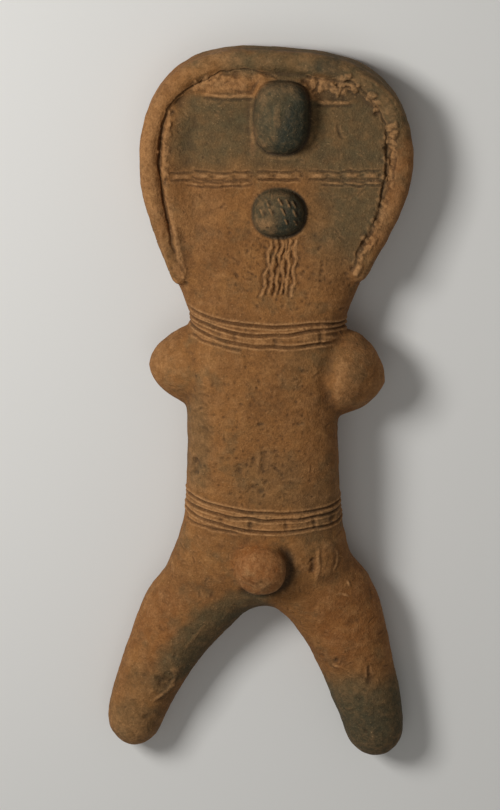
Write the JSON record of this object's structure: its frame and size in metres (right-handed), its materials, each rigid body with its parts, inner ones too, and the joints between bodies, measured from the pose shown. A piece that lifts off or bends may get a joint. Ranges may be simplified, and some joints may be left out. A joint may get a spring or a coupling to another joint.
{
  "type": "terracotta figurine",
  "caption": "Hand-built fired-clay human figurine lying on its flat back, with a broad plate-like head under an applied roll, knob features, stub arms and splayed legs.",
  "frame": {"origin": "on the ground under the middle of the figure's length and width, the figure lying on its back", "axes": "+X to the right as the figure is looked at, +Y towards the crown, +Z from the back up to the front"},
  "size_m": [0.0936, 0.2247, 0.036],
  "materials": {
    "fired_clay": "matt, unglazed, low-fired, with grey fire clouds and a dark coat on the two face knobs"
  },
  "bodies": {
    "root": {"clay_figure": "fired_clay"}
  },
  "joints": []
}
